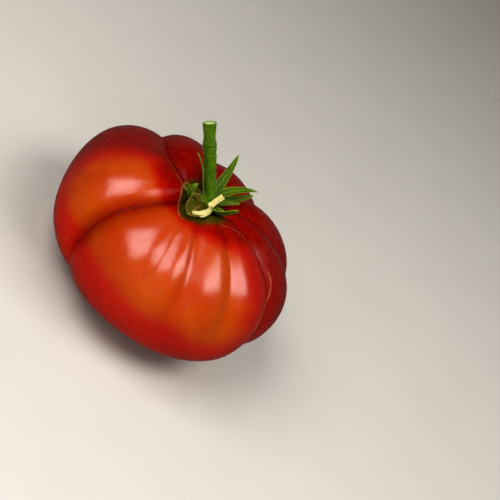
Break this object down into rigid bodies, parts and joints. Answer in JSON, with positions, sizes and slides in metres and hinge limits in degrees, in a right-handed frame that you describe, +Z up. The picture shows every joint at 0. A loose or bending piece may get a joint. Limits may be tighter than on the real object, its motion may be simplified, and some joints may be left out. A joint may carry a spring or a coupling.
{
  "type": "beefsteak tomato",
  "caption": "Ripe ribbed beefsteak tomato as picked, with its green calyx and a short cut stalk, resting on its blossom end.",
  "frame": {"origin": "middle of the small flat spot that the fruit rests on, at the blossom end under the stem axis", "axes": "+Z up the stem axis, -Y the front, the stalk leans towards -X"},
  "size_m": [0.1146, 0.1097, 0.0915],
  "materials": {
    "skin": "glossy, thin-skinned, slightly translucent",
    "green": "soft and finely hairy"
  },
  "bodies": {
    "root": {"fruit": "skin", "calyx_and_stalk": "green"}
  },
  "joints": []
}
